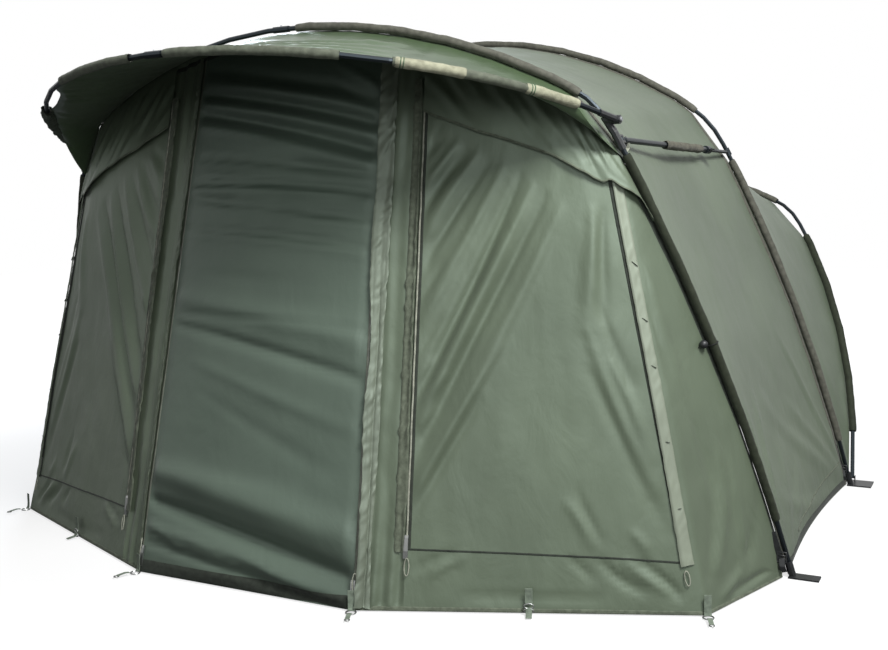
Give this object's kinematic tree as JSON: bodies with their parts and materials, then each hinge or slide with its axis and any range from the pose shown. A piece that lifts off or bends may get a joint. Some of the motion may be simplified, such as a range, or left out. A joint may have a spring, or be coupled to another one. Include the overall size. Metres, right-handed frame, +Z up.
{
  "type": "two-person fishing bivvy tent",
  "caption": "Domed bivvy tent with fanned pole arches, a hinged brow pole over the zipped door, side windows, tension bars and a coated cloth skin.",
  "frame": {"origin": "on the ground, below the centre of the whole tent's bounding box", "axes": "+X to the right when the door is faced, +Y from the door to the back, +Z up"},
  "size_m": [3.18, 3.524, 1.8377],
  "materials": {
    "pole": "dark anodised tube, semi-gloss",
    "moulding": "black moulded nylon",
    "bolt": "plated steel",
    "sleeve": "woven nylon sleeve, olive grey",
    "cloth": "coated nylon, olive green, slight sheen",
    "door_cloth": "coated nylon, grey green, slight sheen",
    "wrap": "fleecy strap, tan",
    "zip_metal": "grey painted metal"
  },
  "bodies": {
    "frame_and_skin": {"front_rib_right": "pole", "front_rib_left": "pole", "middle_rib_right": "pole", "middle_rib_left": "pole", "shoulder_block_right": "moulding", "brow_bolt_right": "bolt", "front_foot_right": "moulding", "rear_foot_right": "moulding", "front_leg_sleeve_right": "sleeve", "front_roof_sleeve_right": "sleeve", "middle_leg_sleeve_right": "sleeve", "pillar_right": "cloth", "front_wall_right": "cloth", "shoulder_block_left": "moulding", "brow_bolt_left": "bolt", "front_foot_left": "moulding", "rear_foot_left": "moulding", "front_leg_sleeve_left": "sleeve", "front_roof_sleeve_left": "sleeve", "middle_leg_sleeve_left": "sleeve", "pillar_left": "cloth", "front_wall_left": "cloth", "middle_roof_sleeve": "sleeve", "canopy": "cloth", "rear_gore": "cloth", "brow_cover": "cloth", "door": "door_cloth"},
    "brow": {"brow_pole_right": "pole", "brow_knuckle_right": "moulding", "brow_end_sleeve_right": "sleeve", "brow_top_sleeve_right": "sleeve", "brow_pole_left": "pole", "brow_knuckle_left": "moulding", "brow_end_sleeve_left": "sleeve", "brow_top_sleeve_left": "sleeve"},
    "rear_arch": {"rear_rib": "pole", "rear_leg_sleeve_right": "sleeve", "rear_leg_sleeve_left": "sleeve", "rear_roof_sleeve": "sleeve", "rear_wall": "cloth"},
    "front_button": {"front_rib_button": "bolt"},
    "brow_button": {"brow_button": "bolt"},
    "bar_right": {"bar_outer_right": "pole", "bar_wrap_right": "wrap"},
    "bar_slider_right": {"bar_inner_right": "pole"},
    "bar_screw_right": {"bar_screw_right": "moulding"},
    "door_zip_right": {"door_zip_slider_right": "zip_metal"},
    "window_inner_zip_right": {"window_inner_zip_slider_right": "zip_metal"},
    "window_outer_zip_right": {"window_outer_zip_slider_right": "zip_metal"},
    "door_ring_right": {"door_ring_right": "zip_metal"},
    "corner_ring_right": {"corner_ring_right": "zip_metal"},
    "bar_left": {"bar_outer_left": "pole", "bar_wrap_left": "wrap"},
    "bar_slider_left": {"bar_inner_left": "pole"},
    "bar_screw_left": {"bar_screw_left": "moulding"},
    "door_zip_left": {"door_zip_slider_left": "zip_metal"},
    "window_inner_zip_left": {"window_inner_zip_slider_left": "zip_metal"},
    "window_outer_zip_left": {"window_outer_zip_slider_left": "zip_metal"},
    "door_ring_left": {"door_ring_left": "zip_metal"},
    "corner_ring_left": {"corner_ring_left": "zip_metal"}
  },
  "joints": [
    {"name": "brow_fold", "type": "hinge", "parent": "frame_and_skin", "child": "brow", "pos_m": [0, -1.0414, 1.40337], "axis": [-1, 0, 0], "range_deg": [0, 40], "deforming": ["brow_cover"]},
    {"name": "rear_arch_fold", "type": "hinge", "parent": "frame_and_skin", "child": "rear_arch", "pos_m": [0, 0.5675, 0.02], "axis": [1, 0, 0], "range_deg": [0, 32], "deforming": ["rear_gore"]},
    {"name": "front_button_press", "type": "slide", "parent": "frame_and_skin", "child": "front_button", "axis": [0, 0, -1], "range_m": [0, 0.0028], "stiffness_N_per_m": 600},
    {"name": "brow_button_press", "type": "slide", "parent": "brow", "child": "brow_button", "axis": [0, -0.2588, -0.9659], "range_m": [0, 0.0028], "stiffness_N_per_m": 600},
    {"name": "bar_swing_right", "type": "hinge", "parent": "frame_and_skin", "child": "bar_right", "pos_m": [1.04918, -1.00149, 1.34757], "axis": [0.4123, -0.0055, -0.911], "range_deg": [0, 80]},
    {"name": "bar_slide_right", "type": "slide", "parent": "bar_right", "child": "bar_slider_right", "axis": [-0.0133, -0.9999, 0], "range_m": [0, 0.24]},
    {"name": "bar_screw_turn_right", "type": "hinge", "parent": "bar_right", "child": "bar_screw_right", "pos_m": [1.06169, -0.06407, 1.34757], "axis": [0.9999, -0.0133, 0], "range_deg": [0, 360]},
    {"name": "door_zip_right_run", "type": "slide", "parent": "frame_and_skin", "child": "door_zip_right", "axis": [-0.0353, 0.2187, 0.9751], "range_m": [0, 1.45]},
    {"name": "window_inner_zip_right_run", "type": "slide", "parent": "frame_and_skin", "child": "window_inner_zip_right", "axis": [-0.0353, 0.1964, 0.9799], "range_m": [0, 1.1]},
    {"name": "window_outer_zip_right_run", "type": "slide", "parent": "frame_and_skin", "child": "window_outer_zip_right", "axis": [-0.223, 0.074, 0.972], "range_m": [0, 0.9]},
    {"name": "door_ring_right_flip", "type": "hinge", "parent": "frame_and_skin", "child": "door_ring_right", "pos_m": [0.40703, -1.51899, 0.0045], "axis": [-0.9237, -0.3831, 0], "range_deg": [0, 85]},
    {"name": "corner_ring_right_flip", "type": "hinge", "parent": "frame_and_skin", "child": "corner_ring_right", "pos_m": [1.34503, -1.12999, 0.0045], "axis": [-0.9237, -0.3831, 0], "range_deg": [0, 85]},
    {"name": "bar_swing_left", "type": "hinge", "parent": "frame_and_skin", "child": "bar_left", "pos_m": [-1.04918, -1.00149, 1.34757], "axis": [0.4123, 0.0055, 0.911], "range_deg": [0, 80]},
    {"name": "bar_slide_left", "type": "slide", "parent": "bar_left", "child": "bar_slider_left", "axis": [0.0133, -0.9999, 0], "range_m": [0, 0.24]},
    {"name": "bar_screw_turn_left", "type": "hinge", "parent": "bar_left", "child": "bar_screw_left", "pos_m": [-1.06169, -0.06407, 1.34757], "axis": [-0.9999, -0.0133, 0], "range_deg": [0, 360]},
    {"name": "door_zip_left_run", "type": "slide", "parent": "frame_and_skin", "child": "door_zip_left", "axis": [0.0353, 0.2187, 0.9751], "range_m": [0, 1.45]},
    {"name": "window_inner_zip_left_run", "type": "slide", "parent": "frame_and_skin", "child": "window_inner_zip_left", "axis": [0.0353, 0.1964, 0.9799], "range_m": [0, 1.1]},
    {"name": "window_outer_zip_left_run", "type": "slide", "parent": "frame_and_skin", "child": "window_outer_zip_left", "axis": [0.223, 0.074, 0.972], "range_m": [0, 0.9]},
    {"name": "door_ring_left_flip", "type": "hinge", "parent": "frame_and_skin", "child": "door_ring_left", "pos_m": [-0.40703, -1.51899, 0.0045], "axis": [-0.9237, 0.3831, 0], "range_deg": [0, 85]},
    {"name": "corner_ring_left_flip", "type": "hinge", "parent": "frame_and_skin", "child": "corner_ring_left", "pos_m": [-1.34503, -1.12999, 0.0045], "axis": [-0.9237, 0.3831, 0], "range_deg": [0, 85]}
  ]
}
